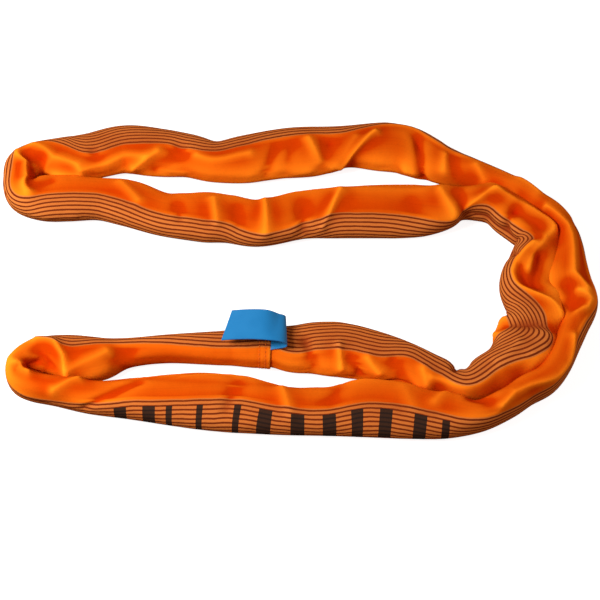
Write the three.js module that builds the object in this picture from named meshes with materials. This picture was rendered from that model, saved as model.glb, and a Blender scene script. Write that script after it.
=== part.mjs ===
// Endless polyester round sling, 10 t class, 1.5 m effective working length.
// The loop is laid flat as two strands side by side, and the doubled strand is bent into a C.
// Millimetres, +Z up, the floor at z = 0.
import * as THREE from "three";

const COVER_WALL = 1.2; // woven cover
const TOUCH_GAP = 0.35; // left between pieces that touch
const COVER_SIDES = 14;
const SECTION_POWER = 2.5; // superellipse: a soft box with a flat underside

const LAP_LENGTH_ROWS = 0.8; // how far the cover's tucked end runs under its outer end
const LAP_TAPER_ROWS = 0.35; // where the tucked end narrows, just before the lap edge
const LAP_SPACE = 1.5; // room between the two layers, which the label tail shares

const YARN_BUNDLES = 7; // turns of the load-bearing hank: one in the middle, six round it
const YARN_SIDES = 5;
const CORE_CLEARANCE = 12; // cover size less core size, across and up
const BUNDLE_OFFSET = 0.33; // of the core's size
const BUNDLE_RADIUS = 0.15; // of the core's size

const CORE_TAPE_ROW = 48.5;
const CORE_TAPE_ROWS = 0.9;
const CORE_TAPE_WALL = 0.6;

const THREAD_RADIUS = 0.45;
const THREAD_SIDES = 6;
const SEAM_ROWS = [0.16, 0.36]; // two rows of stitching, 6 and 13 mm behind the lap edge
const SEAM_LIFT = 1.6; // the stitched lap's underside stands this far off the floor

const LABEL_THICKNESS = 0.7;
const LABEL_WIDTH = 40;
const LABEL_TURN = 0.1; // radians, the strip's turn in plan
const LABEL_LAP_SIDES = [-1, 3]; // sides of the cover's section from its top, positive to the banded side
const LABEL_LAP_ROWS = 0.7; // how far the strip is sewn in under the lap
const CURL_CENTRE = [-26, -88, 42.5]; // middle of the curl, and of the strip's width
const CURL_REACH = 14;
const CURL_RISE = 8;
const FOLD_LENGTH = 8; // from the top of the curl to the flap's hinge line
const FLAP_LENGTH = 51;
const FLAP_DROOP = 9; // the flap's free end hangs this much lower than its hinge line
const FLAP_GAP = 0.7; // flap's edge to the hinge line
const TAIL_GAP = 0.2; // tail's edge to the hinge line

// The route once round the loop, from the lap seam: [x, y, width, height] of the cover.
const ROUTE = [
  [-32, -95, 50, 32], [-68, -95, 44, 30], [-107, -95, 38, 30], [-152, -96, 32, 30],
  [-191, -101, 34, 30], [-225, -110, 52, 34], [-259, -109, 52, 38], [-284, -109, 44, 42],
  [-301, -115, 38, 44], [-313, -126, 30, 44], [-311, -141, 26, 42], [-295, -148, 30, 40],
  [-268, -153, 32, 38], [-230, -160, 38, 36], [-187, -161, 50, 36], [-143, -162, 64, 36],
  [-105, -164, 72, 36], [-66, -168, 72, 36], [-22, -176, 60, 36], [22, -177, 60, 36],
  [71, -175, 68, 36], [120, -180, 62, 36], [162, -185, 51, 38], [196, -185, 34, 42],
  [227, -171, 30, 44], [249, -155, 30, 44], [272, -141, 30, 44], [288, -120, 30, 44],
  [301, -93, 30, 44], [310, -70, 34, 44], [317, -40, 48, 44], [313, -11, 48, 44],
  [315, 16, 38, 44], [317, 40, 30, 44], [314, 62, 26, 44], [301, 86, 25, 44],
  [284, 101, 24, 44], [265, 119, 23, 44], [239, 136, 26, 42], [211, 152, 30, 40],
  [182, 164, 43, 38], [156, 179, 61, 36], [127, 194, 72, 34], [96, 197, 70, 34],
  [55, 197, 58, 34], [18, 190, 71, 34], [-18, 187, 71, 34], [-67, 177, 68, 34],
  [-104, 173, 56, 34], [-135, 182, 60, 34], [-172, 187, 69, 34], [-215, 193, 69, 34],
  [-257, 181, 65, 36], [-290, 176, 61, 38], [-317, 176, 42, 40], [-336, 162, 44, 42],
  [-339, 140, 42, 42], [-330, 119, 46, 42], [-306, 113, 56, 38], [-277, 114, 58, 36],
  [-240, 116, 58, 34], [-204, 108, 61, 34], [-161, 92, 57, 34], [-113, 89, 70, 34],
  [-83, 84, 62, 34], [-48, 78, 60, 34], [0, 89, 60, 34], [36, 92, 64, 34],
  [84, 95, 70, 34], [119, 96, 72, 34], [149, 97, 68, 36], [173, 100, 54, 38],
  [191, 106, 38, 40], [212, 105, 37, 42], [232, 100, 40, 42], [248, 85, 45, 42],
  [264, 70, 46, 42], [275, 57, 46, 42], [274, 37, 47, 42], [265, 12, 54, 42],
  [257, -15, 56, 42], [262, -40, 56, 42], [261, -65, 54, 42], [252, -84, 60, 42],
  [243, -104, 56, 42], [227, -120, 44, 42], [209, -132, 42, 40], [183, -146, 32, 38],
  [157, -133, 38, 36], [122, -119, 52, 36], [90, -109, 62, 36], [51, -100, 70, 36],
  [20, -96, 66, 34], [-9, -97, 58, 33],
];
const LAST_ROW = ROUTE.length - 1;
const CENTRE_SHIFT = new THREE.Vector3(9.7, -10.5, 0); // puts the bounding box's middle over the origin

// A value of the route between two rows, by a Catmull-Rom curve through the rows.
function routeValue(row, column) {
  const count = ROUTE.length;
  const whole = Math.floor(row);
  const t = row - whole;
  const [p0, p1, p2, p3] = [-1, 0, 1, 2].map((step) => ROUTE[(whole + step + count) % count][column]);
  const linear = (p2 - p0) * t;
  const square = (2 * p0 - 5 * p1 + 4 * p2 - p3) * t * t;
  const cube = (3 * p1 - p0 - 3 * p2 + p3) * t * t * t;
  return p1 + 0.5 * (linear + square + cube);
}

// How far the strand's underside stands off the floor: only the lap seam does.
function liftAt(row) {
  const fromSeam = row > LAST_ROW ? row - LAST_ROW - 1 : row;
  if (fromSeam < 0) return SEAM_LIFT * (1 + fromSeam);
  return fromSeam <= 1 ? SEAM_LIFT : 0;
}

// The strand's frame at a row: its middle on the floor, its directions, and the cover's size.
function strandAt(row) {
  const ahead = [routeValue(row + 0.5, 0), routeValue(row + 0.5, 1)];
  const behind = [routeValue(row - 0.5, 0), routeValue(row - 0.5, 1)];
  const along = new THREE.Vector3(ahead[0] - behind[0], ahead[1] - behind[1], 0).normalize();
  return {
    middle: new THREE.Vector3(routeValue(row, 0), routeValue(row, 1), liftAt(row)),
    along,
    across: new THREE.Vector3(along.y, -along.x, 0),
    width: routeValue(row, 2),
    height: routeValue(row, 3),
  };
}

function placeOnStrand(strand, acrossDistance, z) {
  const point = strand.middle.clone().addScaledVector(strand.across, acrossDistance);
  return point.add(new THREE.Vector3(0, 0, z)).add(CENTRE_SHIFT);
}

// A point of the cover's cross-section, shrunk inwards by inset: [across, z]. Angle 0 is straight down.
function sectionPoint(strand, angle, inset) {
  const power = 2 / SECTION_POWER;
  const soften = (value) => Math.sign(value) * Math.abs(value) ** power;
  const across = (strand.width / 2 - inset) * soften(Math.sin(angle));
  const halfHeight = strand.height / 2 - inset;
  const up = halfHeight * (1 - soften(Math.cos(angle)));
  return [across, inset + (up < 0.1 * halfHeight ? 0 : up)];
}

// The same, but on the flat sides between the cover's own edges, for what lies against the cover.
function skinPoint(strand, angle, inset) {
  const side = (angle * COVER_SIDES) / (2 * Math.PI);
  const edge = Math.floor(side);
  const [from, to] = [edge, edge + 1].map((i) => sectionPoint(strand, (i * 2 * Math.PI) / COVER_SIDES, inset));
  return from.map((value, i) => THREE.MathUtils.lerp(value, to[i], side - edge));
}

// Moves every vertex of a plain three.js shape to its place on the sling.
function bend(geometry, place) {
  const position = geometry.getAttribute("position");
  const vertex = new THREE.Vector3();
  for (let i = 0; i < position.count; i++) {
    vertex.fromBufferAttribute(position, i);
    const target = place(vertex);
    position.setXYZ(i, target.x, target.y, target.z);
  }
  geometry.computeVertexNormals();
  return geometry;
}

// A straight pipe with wall, along Y from 0 to steps: its outer skin has radius 2 and its inner skin 1.
function straightPipe(steps, sides) {
  const inner = [];
  const outer = [];
  for (let i = 0; i <= steps; i++) {
    inner.push(new THREE.Vector2(1, i));
    outer.push(new THREE.Vector2(2, steps - i));
  }
  return new THREE.LatheGeometry([...inner, ...outer, inner[0]], sides);
}

function fabric(color, roughness) {
  return new THREE.MeshStandardMaterial({ color, roughness, metalness: 0, side: THREE.DoubleSide });
}

const coverOrange = fabric(0xe85a08, 0.85);
const yarnWhite = fabric(0xe9e4d8, 0.8);
const tapeWhite = fabric(0xf2f2ee, 0.5);
const seamOrange = fabric(0xc24a10, 0.7);
const labelBlue = fabric(0x1f7fc8, 0.45);

// Cover: one woven tube. Its end is tucked inside its start, which makes the lap seam.
function makeCover() {
  const rows = ROUTE.map((_, i) => i);
  rows.push(LAST_ROW + 1 - LAP_TAPER_ROWS, LAST_ROW + 1, LAST_ROW + 1 + LAP_LENGTH_ROWS);
  const pipe = straightPipe(rows.length - 1, COVER_SIDES);
  return bend(pipe, (vertex) => {
    const step = Math.round(vertex.y);
    const strand = strandAt(rows[step]);
    const tucked = rows[step] > LAST_ROW ? COVER_WALL + LAP_SPACE : 0;
    const isInner = Math.hypot(vertex.x, vertex.z) < 1.5;
    const angle = Math.atan2(vertex.x, vertex.z);
    const [across, z] = sectionPoint(strand, angle, tucked + (isInner ? COVER_WALL : 0));
    return placeOnStrand(strand, across, z);
  });
}

// One turn of the yarn hank: an endless ring that follows the strand at its own place in the core.
function makeYarnBundle(index) {
  const angleInCore = (index * Math.PI) / 3;
  const offset = index === 0 ? 0 : BUNDLE_OFFSET;
  const ring = new THREE.TorusGeometry(10, 1, YARN_SIDES, ROUTE.length);
  return bend(ring, (vertex) => {
    const turn = Math.atan2(vertex.y, vertex.x) / (2 * Math.PI);
    const row = Math.round((turn < -1e-6 ? turn + 1 : turn) * ROUTE.length) % ROUTE.length;
    const strand = strandAt(row);
    const coreWidth = strand.width - CORE_CLEARANCE;
    const coreHeight = strand.height - CORE_CLEARANCE;
    const sideways = offset * Math.cos(angleInCore) + BUNDLE_RADIUS * (Math.hypot(vertex.x, vertex.y) - 10);
    const upwards = offset * Math.sin(angleInCore) + BUNDLE_RADIUS * vertex.z;
    return placeOnStrand(strand, coreWidth * sideways, strand.height / 2 + coreHeight * upwards);
  });
}

// Tape round the whole hank where the yarn's two ends are laid in.
function makeCoreTape() {
  return bend(straightPipe(1, COVER_SIDES), (vertex) => {
    const strand = strandAt(CORE_TAPE_ROW + (vertex.y - 0.5) * CORE_TAPE_ROWS);
    const isInner = Math.hypot(vertex.x, vertex.z) < 1.5;
    const angle = Math.atan2(vertex.x, vertex.z);
    const inset = CORE_CLEARANCE / 2 - TOUCH_GAP - (isInner ? 0 : CORE_TAPE_WALL);
    const [across, z] = sectionPoint(strand, angle, inset);
    return placeOnStrand(strand, across, z);
  });
}

// One row of the lap's stitching, run right round the strand at an inset from the outer skin.
function makeSeamThread(row, inset) {
  const strand = strandAt(row);
  const ring = new THREE.TorusGeometry(10, THREAD_RADIUS, THREAD_SIDES, 2 * COVER_SIDES);
  return bend(ring, (vertex) => {
    const angle = Math.atan2(vertex.y, vertex.x);
    const outwards = Math.hypot(vertex.x, vertex.y) - 10;
    const [across, z] = skinPoint(strand, angle, inset - outwards);
    return placeOnStrand(strand, across, z).addScaledVector(strand.along, -vertex.z);
  });
}

// The label strip's own directions in plan: along it, and across its width.
const labelAlong = new THREE.Vector3(Math.cos(LABEL_TURN), -Math.sin(LABEL_TURN), 0);
const labelAcross = new THREE.Vector3(Math.sin(LABEL_TURN), Math.cos(LABEL_TURN), 0);

// A point of the free strip: along and up from the curl's middle, and sideways over its width.
function placeOnStrip(along, up, sideways) {
  const point = new THREE.Vector3(...CURL_CENTRE).add(CENTRE_SHIFT);
  point.addScaledVector(labelAlong, along).addScaledVector(labelAcross, sideways);
  return point.add(new THREE.Vector3(0, 0, up));
}

// Tail: sewn in under the lap, out over the strand, round the curl and up to the flap's hinge line.
const TAIL_LAP_STEPS = 2;
const TAIL_CURL_STEPS = 10;
function makeLabelTail() {
  const steps = TAIL_LAP_STEPS + 1 + TAIL_CURL_STEPS + 1;
  const strip = new THREE.BoxGeometry(steps, 1, 1, steps, 1, LABEL_LAP_SIDES[1] - LABEL_LAP_SIDES[0]);
  return bend(strip, (vertex) => {
    const step = Math.round(vertex.x + steps / 2);
    const share = 0.5 - vertex.z;
    const outwards = vertex.y * LABEL_THICKNESS;
    if (step <= TAIL_LAP_STEPS) {
      const strand = strandAt(LABEL_LAP_ROWS * (1 - step / TAIL_LAP_STEPS));
      const fromTop = THREE.MathUtils.lerp(...LABEL_LAP_SIDES, share) / COVER_SIDES;
      const inset = COVER_WALL + LAP_SPACE / 2 - outwards;
      const [across, z] = sectionPoint(strand, Math.PI * (1 - 2 * fromTop), inset);
      return placeOnStrand(strand, across, z);
    }
    const sideways = (share - 0.5) * LABEL_WIDTH;
    if (step === steps) return placeOnStrip(TAIL_GAP - FOLD_LENGTH, CURL_RISE - outwards, sideways);
    const turn = ((step - TAIL_LAP_STEPS - 1) / TAIL_CURL_STEPS - 0.5) * Math.PI;
    const along = (CURL_REACH - outwards) * Math.cos(turn);
    return placeOnStrip(along, (CURL_RISE - outwards) * Math.sin(turn), sideways);
  });
}

// Flap: the loose length of the strip, folded back over the strand.
function makeLabelFlap() {
  const strip = new THREE.BoxGeometry(1, LABEL_THICKNESS, LABEL_WIDTH, 8, 1, 1);
  return bend(strip, (vertex) => {
    const share = vertex.x + 0.5;
    const along = -FOLD_LENGTH - FLAP_GAP - share * FLAP_LENGTH;
    return placeOnStrip(along, CURL_RISE - FLAP_DROOP * share * share + vertex.y, vertex.z);
  });
}

const sling = new THREE.Group();
function addPiece(name, geometry, material) {
  const mesh = new THREE.Mesh(geometry, material);
  mesh.name = name;
  sling.add(mesh);
}

addPiece("cover_sleeve", makeCover(), coverOrange);
for (let i = 0; i < YARN_BUNDLES; i++) {
  addPiece("core_yarn_bundle_" + (i + 1), makeYarnBundle(i), yarnWhite);
}
addPiece("core_end_tape", makeCoreTape(), tapeWhite);
SEAM_ROWS.forEach((row, i) => {
  const outside = -TOUCH_GAP - THREAD_RADIUS;
  const inside = 2 * COVER_WALL + LAP_SPACE + TOUCH_GAP + THREAD_RADIUS;
  addPiece("lap_needle_thread_" + (i + 1), makeSeamThread(row, outside), seamOrange);
  addPiece("lap_bobbin_thread_" + (i + 1), makeSeamThread(row, inside), seamOrange);
});
addPiece("label_tail", makeLabelTail(), labelBlue);
addPiece("label_flap", makeLabelFlap(), labelBlue);

export default sling;
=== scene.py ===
# Endless polyester round sling, laid flat as a doubled strand that is bent into a C.
# Metres in Blender, millimetres in the working arrays. The floor is at z = 0.
# The cover is cloth: a small position-based solver drapes it over the yarn core, fold by fold.
import math

import bmesh
import bpy
import numpy as np
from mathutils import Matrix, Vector


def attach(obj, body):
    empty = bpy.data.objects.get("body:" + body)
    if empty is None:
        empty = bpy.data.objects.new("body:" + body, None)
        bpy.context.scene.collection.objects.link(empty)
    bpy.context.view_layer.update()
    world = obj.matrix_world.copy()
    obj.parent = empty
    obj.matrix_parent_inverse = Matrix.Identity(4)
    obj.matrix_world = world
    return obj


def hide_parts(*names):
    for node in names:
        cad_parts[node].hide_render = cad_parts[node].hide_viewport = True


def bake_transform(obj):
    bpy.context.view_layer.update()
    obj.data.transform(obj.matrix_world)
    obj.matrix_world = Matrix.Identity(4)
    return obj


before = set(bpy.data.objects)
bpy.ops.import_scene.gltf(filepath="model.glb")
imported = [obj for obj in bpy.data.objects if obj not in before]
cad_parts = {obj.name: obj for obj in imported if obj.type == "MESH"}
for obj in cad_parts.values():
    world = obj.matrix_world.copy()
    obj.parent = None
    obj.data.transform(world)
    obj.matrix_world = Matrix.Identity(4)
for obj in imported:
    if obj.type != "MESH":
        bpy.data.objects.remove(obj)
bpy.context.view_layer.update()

# ---------------------------------------------------------------- the loop's route
# From the lap seam round the loop: x, y, width and height of the cover in millimetres, then the
# angle in its section of the striped band's upper edge (0 is the banded side, 90 the top).
ROUTE = [
    (-32, -95, 50, 32, 108), (-68, -95, 44, 30, 110), (-107, -95, 38, 30, 107), (-152, -96, 32, 30, 95),
    (-191, -101, 34, 30, 83), (-225, -110, 52, 34, 72), (-259, -109, 52, 38, 88), (-284, -109, 44, 42, 70),
    (-301, -115, 38, 44, 45), (-313, -126, 30, 44, 20), (-311, -141, 26, 42, 10), (-295, -148, 30, 40, 10),
    (-268, -153, 32, 38, 15), (-230, -160, 38, 36, 38), (-187, -161, 50, 36, 65), (-143, -162, 64, 36, 74),
    (-105, -164, 72, 36, 81), (-66, -168, 72, 36, 86), (-22, -176, 60, 36, 83), (22, -177, 60, 36, 78),
    (71, -175, 68, 36, 88), (120, -180, 62, 36, 87), (162, -185, 51, 38, 75), (196, -185, 34, 42, 45),
    (227, -171, 30, 44, 30), (249, -155, 30, 44, 25), (272, -141, 30, 44, 28), (288, -120, 30, 44, 40),
    (301, -93, 30, 44, 58), (310, -70, 34, 44, 50), (317, -40, 48, 44, 22), (313, -11, 48, 44, 18),
    (315, 16, 38, 44, 20), (317, 40, 30, 44, 28), (314, 62, 26, 44, 38), (301, 86, 25, 44, 50),
    (284, 101, 24, 44, 62), (265, 119, 23, 44, 62), (239, 136, 26, 42, 62), (211, 152, 30, 40, 62),
    (182, 164, 43, 38, 62), (156, 179, 61, 36, 60), (127, 194, 72, 34, 42), (96, 197, 70, 34, 52),
    (55, 197, 58, 34, 77), (18, 190, 71, 34, 72), (-18, 187, 71, 34, 74), (-67, 177, 68, 34, 80),
    (-104, 173, 56, 34, 87), (-135, 182, 60, 34, 92), (-172, 187, 69, 34, 88), (-215, 193, 69, 34, 96),
    (-257, 181, 65, 36, 104), (-290, 176, 61, 38, 76), (-317, 176, 42, 40, 52), (-336, 162, 44, 42, 72),
    (-339, 140, 42, 42, 78), (-330, 119, 46, 42, 50), (-306, 113, 56, 38, 82), (-277, 114, 58, 36, 87),
    (-240, 116, 58, 34, 84), (-204, 108, 61, 34, 79), (-161, 92, 57, 34, 74), (-113, 89, 70, 34, 69),
    (-83, 84, 62, 34, 66), (-48, 78, 60, 34, 44), (0, 89, 60, 34, 49), (36, 92, 64, 34, 74),
    (84, 95, 70, 34, 74), (119, 96, 72, 34, 69), (149, 97, 68, 36, 52), (173, 100, 54, 38, 18),
    (191, 106, 38, 40, 24), (212, 105, 37, 42, 52), (232, 100, 40, 42, 52), (248, 85, 45, 42, 51),
    (264, 70, 46, 42, 53), (275, 57, 46, 42, 54), (274, 37, 47, 42, 92), (265, 12, 54, 42, 56),
    (257, -15, 56, 42, 63), (262, -40, 56, 42, 82), (261, -65, 54, 42, 118), (252, -84, 60, 42, 163),
    (243, -104, 56, 42, 136), (227, -120, 44, 42, 116), (209, -132, 42, 40, 112), (183, -146, 32, 38, 128),
    (157, -133, 38, 36, 110), (122, -119, 52, 36, 90), (90, -109, 62, 36, 104), (51, -100, 70, 36, 102),
    (20, -96, 66, 34, 108), (-9, -97, 58, 33, 118),
]
CENTRE_SHIFT = (9.7, -10.5)  # puts the loop's box over the origin
ROW_SAMPLES = 40
DIRECTION_REACH = 3  # rings ahead and back that a ring's direction is taken over
DIRECTION_EASING = 4

# The folds that the cover lies in, listed one by one: half width and height in millimetres (below zero
# for a crease), then the line that the fold follows, as (row of the route, angle in the section).
FOLDS = [
    # first strand, from the lap to its turn
    (9, 5, (5.9, 150), (4.7, 95)), (9, -5, (4.4, 150), (4.0, 110)),
    (6, 6, (7.3, 60), (6.6, 75), (6.1, 105), (5.8, 171)), (12, -9, (7.4, 105), (6.8, 155)),
    (8, -9, (7.8, 150), (8.6, 150)), (6, 5, (9.2, 70), (9.6, 115), (10.6, 110)),
    (8, 6, (12.6, 117), (12.0, 60)),
    # second strand, past the print
    (5, -6, (12.9, 12), (13.6, 80), (14.2, 123)), (10, -4, (16.9, 130), (16.7, 60)),
    (9, 4, (18.0, 130), (18.3, 60)), (11, -4, (19.4, 135), (19.2, 90)), (14, 3, (20.8, 130), (21.1, 80)),
    (9, -6, (22.8, 150), (23.3, 110)), (8, 3, (21.9, 150), (21.6, 100)),
    # outer side of the bend
    (6, 5, (23.6, 62), (24.2, 84), (25.0, 70), (25.6, 57), (26.2, 42), (26.9, 39), (27.4, 54), (27.9, 75)),
    (6, 6, (30.1, 92), (29.8, 66), (29.5, 69), (29.2, 92)), (7, -7, (30.5, 120), (29.6, 125), (29.3, 100)),
    (7, 7, (35.2, 128), (34.5, 116), (33.7, 99), (33.1, 93), (32.2, 90), (31.0, 90), (30.2, 78)),
    (8, -6, (34.0, 45), (32.5, 45), (30.8, 45)),
    (8, 4, (38.4, 150), (38.9, 95)), (8, -4, (39.6, 140), (39.9, 90)), (7, 3, (37.2, 60), (36.2, 80)),
    # back strand
    (8, 4, (40.2, 90), (40.0, 140)), (6, -9, (41.6, 70), (41.3, 100), (41.0, 140), (40.7, 185)),
    (7, 7, (44.3, 178), (43.9, 141), (43.5, 102), (43.1, 82)),
    (9, 3, (44.6, 170), (44.1, 130), (43.7, 90)), (9, -7, (44.9, 165), (44.5, 95)),
    (9, 5, (45.2, 85), (44.9, 140)), (9, -3, (46.0, 130), (45.8, 90)), (7, -5, (46.6, 168), (46.2, 90)),
    (8, 4, (48.6, 102), (46.9, 96)), (12, -6, (49.3, 95), (49.2, 115)), (8, 6, (50.6, 165), (50.0, 105)),
    (7, -6, (50.0, 170), (49.4, 125)), (7, 5, (52.3, 150), (51.6, 138), (51.0, 124), (50.3, 118)),
    (9, -4, (51.9, 100), (51.8, 120)), (7, 5, (54.2, 75), (53.3, 110), (52.4, 128)),
    (9, -5, (53.4, 160), (52.0, 165)),
    (6, 6, (54.9, 70), (55.4, 110), (56.6, 112), (57.4, 80)), (8, -7, (54.7, 115), (54.0, 140)),
    (9, -6, (55.6, 150), (56.6, 150)), (6, -4, (57.3, 100), (58.3, 130)),
    # inner strand of the far side
    (9, 4, (60.6, 119), (61.3, 87)), (8, -4, (62.3, 100), (62.4, 60)), (8, 5, (63.2, 110), (63.6, 60)),
    (9, -4, (64.2, 110), (64.4, 60)), (8, 6, (65.2, 129), (65.1, 42)), (11, -7, (66.1, 110), (66.0, 30)),
    (7, 7, (67.3, 120), (66.7, 40)), (14, -3, (69.4, 100), (69.5, 60)), (8, 5, (70.8, 110), (71.2, 30)),
    (6, -5, (71.8, 110), (72.0, 20)), (6, 5, (72.1, 20), (73.0, 68), (73.8, 108)),
    # inner side of the bend
    (6, -7, (75.2, 100), (75.3, 57), (75.5, 10)),
    (6, 5, (73.8, 100), (75.2, 117), (76.5, 121), (77.2, 136)),
    (6, -5, (75.4, 92), (76.4, 92), (77.2, 98)), (5, -8, (78.9, 50), (78.7, 5)),
    (6, 6, (77.4, 126), (77.8, 108), (78.6, 95), (79.5, 92)),
    (6, 7, (78.3, 87), (79.2, 72), (79.8, 66), (80.3, 73), (80.9, 92), (81.3, 120), (81.8, 150)),
    (8, -9, (78.8, 110), (79.4, 118), (80.4, 112)), (5, -6, (79.5, 80), (80.3, 90)),
    (6, -9, (83.2, 20), (82.9, 75), (82.5, 110), (82.3, 150)), (7, 4, (84.0, 90), (85.6, 90)),
    (6, 4, (88.2, 129), (87.2, 122), (86.4, 118), (85.4, 112), (84.2, 122)), (5, -9, (87.6, 0), (87.6, 70)),
    # back to the lap
    (9, 5, (88.5, 110), (88.3, 150)), (9, -5, (89.5, 110), (89.2, 150)), (8, 5, (90.3, 112), (89.9, 150)),
    (7, -6, (90.8, 120), (90.5, 165)), (7, 6, (91.2, 95), (91.0, 150)), (8, -6, (92.5, 90), (92.2, 160)),
    # where two strands lie against each other
    (13, 6, (41.4, 172), (37.5, 172)), (13, 8, (37.0, 172), (30.0, 172)), (13, 4, (29.5, 172), (22.5, 172)),
    (13, 6, (88.5, 172), (84.0, 172)), (13, 8, (83.5, 172), (73.5, 172)),
    (12, 5, (84.5, 150), (80.8, 150)), (13, 4, (73.5, 168), (64.0, 168)),
    (11, 7, (53.9, 178), (52.4, 175)), (11, 7, (57.5, 178), (59.2, 175)), (12, 3, (6.5, 175), (5.2, 175)),
    # the strand's outline
    (14, -3, (13.5, 165), (19.5, 165)), (11, 4, (84.2, 0), (86.2, 0)), (10, -4, (72.5, 0), (77.0, 0)),
    (9, 6, (82.5, 5), (83.6, 5)), (16, -4, (42.2, 10), (40.6, 10)), (14, 3, (66.0, 180), (69.5, 180)),
    (12, 3, (60.8, 180), (62.2, 180)), (10, 3, (45.8, 180), (44.6, 180)), (12, 3, (57.4, 0), (59.2, 0)),
    (14, -4, (55.0, 0), (56.6, 0)), (12, 3, (10.8, 0), (13.0, 0)), (12, -3, (14.5, 175), (16.8, 175)),
    (12, -3, (91.0, 178), (89.3, 178)), (12, 3, (19.6, 172), (21.0, 172)), (14, -3, (91.0, 5), (88.4, 5)),
]


def through_rows(values, per_row):
    """Catmull-Rom curve through closed rows of values."""
    v = np.asarray(values, float)
    a, b, c, d = (k[:, None, :] for k in (np.roll(v, 1, 0), v, np.roll(v, -1, 0), np.roll(v, -2, 0)))
    t = (np.arange(per_row) / per_row)[None, :, None]
    out = b + 0.5 * ((c - a) * t + (2 * a - 5 * b + 4 * c - d) * t**2 + (3 * b - a - 3 * c + d) * t**3)
    return out.reshape(-1, v.shape[1])


def running_length(line):
    """Distance from the line's first point to each of its points."""
    return np.concatenate([[0], np.cumsum(np.linalg.norm(np.diff(line, axis=0), axis=1))])


def eased(values, turns):
    """Closed rows of values, each drawn towards its two neighbours."""
    for _ in range(turns):
        values = (np.roll(values, 1, 0) + 2 * values + np.roll(values, -1, 0)) / 4
    return values


DENSE = through_rows(ROUTE, ROW_SAMPLES)
DENSE[:, :2] += CENTRE_SHIFT
DENSE = np.vstack([DENSE, DENSE[:1]])
DENSE_ARC = running_length(DENSE[:, :2])
LOOP = DENSE_ARC[-1]


def arc_of(row):
    """Distance round the loop, in millimetres, of a row of the route."""
    return float(np.interp(row * ROW_SAMPLES, np.arange(len(DENSE_ARC)), DENSE_ARC))


def strand_rings(count):
    """The strand at equal steps: distance round the loop, the route's five values there, the
    strand's direction, and the direction across it to the banded side."""
    at = np.arange(count) * LOOP / count
    ring = np.column_stack([np.interp(at, DENSE_ARC, DENSE[:, k]) for k in range(5)])
    along = np.roll(ring[:, :2], -DIRECTION_REACH, 0) - np.roll(ring[:, :2], DIRECTION_REACH, 0)
    along = eased(along, DIRECTION_EASING)
    along /= np.linalg.norm(along, axis=1)[:, None]
    return at, ring, along, np.column_stack([along[:, 1], -along[:, 0]])


# ---------------------------------------------------------------- camera
CAMERA_TARGET = Vector((0.0097, -0.0405, 0.015))
CAMERA_ELEVATION = math.radians(56)
CAMERA_DISTANCE = 1.80
CAMERA_SENSOR, CAMERA_LENS = 36.0, 93.9


def make_camera():
    data = bpy.data.cameras.new("camera")
    camera = bpy.data.objects.new("camera", data)
    bpy.context.scene.collection.objects.link(camera)
    data.sensor_width, data.lens = CAMERA_SENSOR, CAMERA_LENS
    away = Vector((0, -math.cos(CAMERA_ELEVATION), math.sin(CAMERA_ELEVATION)))
    camera.location = CAMERA_TARGET + away * CAMERA_DISTANCE
    camera.rotation_euler = (-away).to_track_quat("-Z", "Y").to_euler()
    bpy.context.scene.camera = camera


make_camera()

# ---------------------------------------------------------------- draping the cover
RINGS, AROUND = 1200, 80
# The solver's passes: how much coarser the grid is, turns, bending stiffness, seed of the unevenness.
PASSES = ((4, 250, 0.04, 3), (2, 250, 0.06, 4), (1, 80, 0.12, 5))
COVER_ROUND = 186.0  # cloth round the strand
BAND_HALF = 27.3  # half the striped band
BAND_MARGIN = 3  # cloth on either side of the band that gathers as the band does
BAND_LEAST = 0.92  # the band gathers to no less than this share of its width
SECTION_POWER = 2.5  # superellipse
CORE_LESS = (3.5, 4.0)  # the core's size less than the cover's, across and up
SPARE_ALONG = 1.005  # spare cloth along the strand
SPARE_ON_BEND = 1.01  # and where the outside of a bend needs more of it
MOST_GATHER = 1.06  # most gathering on the inside of a bend
LEAST_STEP = 0.3  # of a ring's step that a bend's inside can come down to
NEED_EASING = 6
HOLD = (0.004, 0.03)  # how firmly the plain and the banded cloth stay where they were laid
THREAD_STIFFNESS, BIAS_STIFFNESS = 0.9, 0.12
ROUGHNESS = 0.8  # millimetres of unevenness that the cloth starts from
ROUGH_BLUR = 4
SINK = 0.03  # millimetres that the cloth sinks each turn
FLOOR_GAP = 0.3  # least height of the cloth
FIELD_ANGLES = 144
RIDGE_POWER = 0.7  # 1 for a rounded fold, less for a sharper one


def outline_of(width, height, samples=180):
    """Superellipse from the banded side up over the top and back below: points and running length."""
    angle = np.linspace(0, 2 * np.pi, samples + 1)
    power = 2 / SECTION_POWER
    x = width / 2 * np.sign(np.cos(angle)) * np.abs(np.cos(angle)) ** power
    z = height / 2 * np.sign(np.sin(angle)) * np.abs(np.sin(angle)) ** power
    run = np.concatenate([[0], np.cumsum(np.hypot(np.diff(x), np.diff(z)))])
    return x, z, run


def run_at(outline, degrees):
    """Running length on an outline at an angle of the section."""
    run = outline[2]
    return np.interp(np.asarray(degrees) / 360 * (len(run) - 1), np.arange(len(run)), run)


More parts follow.
